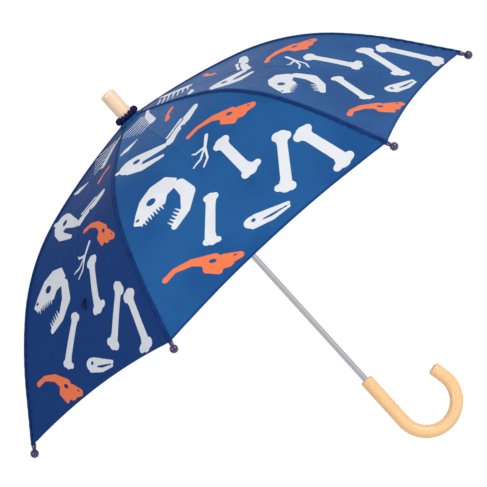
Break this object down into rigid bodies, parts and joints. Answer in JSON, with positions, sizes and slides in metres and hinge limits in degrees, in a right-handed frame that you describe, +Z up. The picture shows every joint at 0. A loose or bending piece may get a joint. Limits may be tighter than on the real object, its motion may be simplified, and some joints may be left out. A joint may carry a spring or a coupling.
{
  "type": "children's umbrella",
  "caption": "Small folding-rib stick umbrella with a domed printed canopy, crook handle, sliding runner, stretchers and ball-tipped ribs.",
  "frame": {"origin": "on the shaft's axis, level with the lowest point of the crook handle", "axes": "+Z up the shaft to the ferrule; +X along rib 1 and in the crook's plane; ribs every 60 degrees"},
  "size_m": [0.7786, 0.6756, 0.6208],
  "materials": {
    "tube": "polished, plated",
    "frame_steel": "plain spring steel, bright",
    "grip": "smooth satin peach plastic",
    "dark_plastic": "glossy dark navy plastic",
    "cloth": "woven navy polyester with a repeating white and orange fossil print",
    "dark_cloth": "dark navy tape"
  },
  "bodies": {
    "shaft_body": {"shaft": "tube", "handle": "grip", "ferrule": "grip", "rosette": "dark_cloth", "canopy_cap": "cloth", "crown": "dark_plastic", "crown_pins": "frame_steel", "crown_rivet": "frame_steel", "stop_pin": "frame_steel"},
    "top_catch_body": {"top_catch": "frame_steel"},
    "bottom_catch_body": {"bottom_catch": "frame_steel"},
    "runner_body": {"runner": "dark_plastic", "runner_pins": "frame_steel"},
    "inner_rib_body_1": {"rib_inner_1": "frame_steel", "rib_joint_1": "frame_steel", "canopy_upper_1": "cloth"},
    "outer_rib_body_1": {"rib_outer_1": "frame_steel", "rib_tip_1": "dark_plastic", "canopy_lower_1": "cloth"},
    "stretcher_body_1": {"stretcher_1": "frame_steel"},
    "inner_rib_body_2": {"rib_inner_2": "frame_steel", "rib_joint_2": "frame_steel", "canopy_upper_2": "cloth"},
    "outer_rib_body_2": {"rib_outer_2": "frame_steel", "rib_tip_2": "dark_plastic", "canopy_lower_2": "cloth"},
    "stretcher_body_2": {"stretcher_2": "frame_steel"},
    "inner_rib_body_3": {"rib_inner_3": "frame_steel", "rib_joint_3": "frame_steel", "canopy_upper_3": "cloth"},
    "outer_rib_body_3": {"rib_outer_3": "frame_steel", "rib_tip_3": "dark_plastic", "canopy_lower_3": "cloth"},
    "stretcher_body_3": {"stretcher_3": "frame_steel"},
    "inner_rib_body_4": {"rib_inner_4": "frame_steel", "rib_joint_4": "frame_steel", "canopy_upper_4": "cloth"},
    "outer_rib_body_4": {"rib_outer_4": "frame_steel", "rib_tip_4": "dark_plastic", "canopy_lower_4": "cloth"},
    "stretcher_body_4": {"stretcher_4": "frame_steel"},
    "inner_rib_body_5": {"rib_inner_5": "frame_steel", "rib_joint_5": "frame_steel", "canopy_upper_5": "cloth"},
    "outer_rib_body_5": {"rib_outer_5": "frame_steel", "rib_tip_5": "dark_plastic", "canopy_lower_5": "cloth", "tie_strap": "dark_cloth"},
    "stretcher_body_5": {"stretcher_5": "frame_steel"},
    "inner_rib_body_6": {"rib_inner_6": "frame_steel", "rib_joint_6": "frame_steel", "canopy_upper_6": "cloth"},
    "outer_rib_body_6": {"rib_outer_6": "frame_steel", "rib_tip_6": "dark_plastic", "canopy_lower_6": "cloth"},
    "stretcher_body_6": {"stretcher_6": "frame_steel"}
  },
  "joints": [
    {"name": "rib_1_fold", "type": "hinge", "parent": "shaft_body", "child": "inner_rib_body_1", "pos_m": [0.0095, 0, 0.5732], "axis": [0, 1, 0], "range_deg": [0, 73], "deforming": ["canopy_upper_1", "top_catch", "bottom_catch"]},
    {"name": "rib_1_bend", "type": "hinge", "parent": "inner_rib_body_1", "child": "outer_rib_body_1", "pos_m": [0.2027, 0, 0.52183], "axis": [0, 1, 0], "range_deg": [-29.5, 0.5], "deforming": ["canopy_lower_1"]},
    {"name": "stretcher_1_swing", "type": "hinge", "parent": "inner_rib_body_1", "child": "stretcher_body_1", "pos_m": [0.2027, 0, 0.52183], "axis": [0, 1, 0], "range_deg": [-147, 1]},
    {"name": "rib_2_fold", "type": "hinge", "parent": "shaft_body", "child": "inner_rib_body_2", "pos_m": [0.00475, 0.00823, 0.5732], "axis": [-0.866, 0.5, 0], "range_deg": [-0.5, 73.5], "deforming": ["canopy_upper_2"]},
    {"name": "rib_2_bend", "type": "hinge", "parent": "inner_rib_body_2", "child": "outer_rib_body_2", "pos_m": [0.10135, 0.17555, 0.52183], "axis": [-0.866, 0.5, 0], "range_deg": [-29.5, 0.5], "deforming": ["canopy_lower_2"]},
    {"name": "stretcher_2_swing", "type": "hinge", "parent": "inner_rib_body_2", "child": "stretcher_body_2", "pos_m": [0.10135, 0.17555, 0.52183], "axis": [-0.866, 0.5, 0], "range_deg": [-147, 1]},
    {"name": "rib_3_fold", "type": "hinge", "parent": "shaft_body", "child": "inner_rib_body_3", "pos_m": [-0.00475, 0.00823, 0.5732], "axis": [-0.866, -0.5, 0], "range_deg": [-0.5, 73.5], "deforming": ["canopy_upper_3"]},
    {"name": "rib_3_bend", "type": "hinge", "parent": "inner_rib_body_3", "child": "outer_rib_body_3", "pos_m": [-0.10135, 0.17555, 0.52183], "axis": [-0.866, -0.5, 0], "range_deg": [-29.5, 0.5], "deforming": ["canopy_lower_3"]},
    {"name": "stretcher_3_swing", "type": "hinge", "parent": "inner_rib_body_3", "child": "stretcher_body_3", "pos_m": [-0.10135, 0.17555, 0.52183], "axis": [-0.866, -0.5, 0], "range_deg": [-147, 1]},
    {"name": "rib_4_fold", "type": "hinge", "parent": "shaft_body", "child": "inner_rib_body_4", "pos_m": [-0.0095, 0, 0.5732], "axis": [0, -1, 0], "range_deg": [-0.5, 73.5], "deforming": ["canopy_upper_4"]},
    {"name": "rib_4_bend", "type": "hinge", "parent": "inner_rib_body_4", "child": "outer_rib_body_4", "pos_m": [-0.2027, 0, 0.52183], "axis": [0, -1, 0], "range_deg": [-29.5, 0.5], "deforming": ["canopy_lower_4"]},
    {"name": "stretcher_4_swing", "type": "hinge", "parent": "inner_rib_body_4", "child": "stretcher_body_4", "pos_m": [-0.2027, 0, 0.52183], "axis": [0, -1, 0], "range_deg": [-147, 1]},
    {"name": "rib_5_fold", "type": "hinge", "parent": "shaft_body", "child": "inner_rib_body_5", "pos_m": [-0.00475, -0.00823, 0.5732], "axis": [0.866, -0.5, 0], "range_deg": [-0.5, 73.5], "deforming": ["canopy_upper_5"]},
    {"name": "rib_5_bend", "type": "hinge", "parent": "inner_rib_body_5", "child": "outer_rib_body_5", "pos_m": [-0.10135, -0.17555, 0.52183], "axis": [0.866, -0.5, 0], "range_deg": [-29.5, 0.5], "deforming": ["canopy_lower_5"]},
    {"name": "stretcher_5_swing", "type": "hinge", "parent": "inner_rib_body_5", "child": "stretcher_body_5", "pos_m": [-0.10135, -0.17555, 0.52183], "axis": [0.866, -0.5, 0], "range_deg": [-147, 1]},
    {"name": "rib_6_fold", "type": "hinge", "parent": "shaft_body", "child": "inner_rib_body_6", "pos_m": [0.00475, -0.00823, 0.5732], "axis": [0.866, 0.5, 0], "range_deg": [-0.5, 73.5], "deforming": ["canopy_upper_6"]},
    {"name": "rib_6_bend", "type": "hinge", "parent": "inner_rib_body_6", "child": "outer_rib_body_6", "pos_m": [0.10135, -0.17555, 0.52183], "axis": [0.866, 0.5, 0], "range_deg": [-29.5, 0.5], "deforming": ["canopy_lower_6"]},
    {"name": "stretcher_6_swing", "type": "hinge", "parent": "inner_rib_body_6", "child": "stretcher_body_6", "pos_m": [0.10135, -0.17555, 0.52183], "axis": [0.866, 0.5, 0], "range_deg": [-147, 1]},
    {"name": "runner_travel", "type": "hinge", "parent": "stretcher_body_1", "child": "runner_body", "pos_m": [0.0095, 0, 0.47047], "axis": [0, 1, 0], "range_deg": [-0.5, 73.5]},
    {"name": "top_catch_press", "type": "hinge", "parent": "shaft_body", "child": "top_catch_body", "pos_m": [0, 0.0019, 0.40416], "axis": [1, 0, 0], "range_deg": [0, 7], "stiffness_Nm_per_rad": 0.05},
    {"name": "bottom_catch_press", "type": "hinge", "parent": "shaft_body", "child": "bottom_catch_body", "pos_m": [0, 0.0019, 0.13564], "axis": [1, 0, 0], "range_deg": [0, 7], "stiffness_Nm_per_rad": 0.05}
  ],
  "couplings": [
    {"joint": "rib_1_bend", "follows": "rib_1_fold", "ratio": -0.39726},
    {"joint": "stretcher_1_swing", "follows": "rib_1_fold", "ratio": -2},
    {"joint": "rib_2_fold", "follows": "rib_1_fold", "ratio": 1},
    {"joint": "rib_2_bend", "follows": "rib_1_fold", "ratio": -0.39726},
    {"joint": "stretcher_2_swing", "follows": "rib_1_fold", "ratio": -2},
    {"joint": "rib_3_fold", "follows": "rib_1_fold", "ratio": 1},
    {"joint": "rib_3_bend", "follows": "rib_1_fold", "ratio": -0.39726},
    {"joint": "stretcher_3_swing", "follows": "rib_1_fold", "ratio": -2},
    {"joint": "rib_4_fold", "follows": "rib_1_fold", "ratio": 1},
    {"joint": "rib_4_bend", "follows": "rib_1_fold", "ratio": -0.39726},
    {"joint": "stretcher_4_swing", "follows": "rib_1_fold", "ratio": -2},
    {"joint": "rib_5_fold", "follows": "rib_1_fold", "ratio": 1},
    {"joint": "rib_5_bend", "follows": "rib_1_fold", "ratio": -0.39726},
    {"joint": "stretcher_5_swing", "follows": "rib_1_fold", "ratio": -2},
    {"joint": "rib_6_fold", "follows": "rib_1_fold", "ratio": 1},
    {"joint": "rib_6_bend", "follows": "rib_1_fold", "ratio": -0.39726},
    {"joint": "stretcher_6_swing", "follows": "rib_1_fold", "ratio": -2},
    {"joint": "runner_travel", "follows": "rib_1_fold", "ratio": 1}
  ]
}
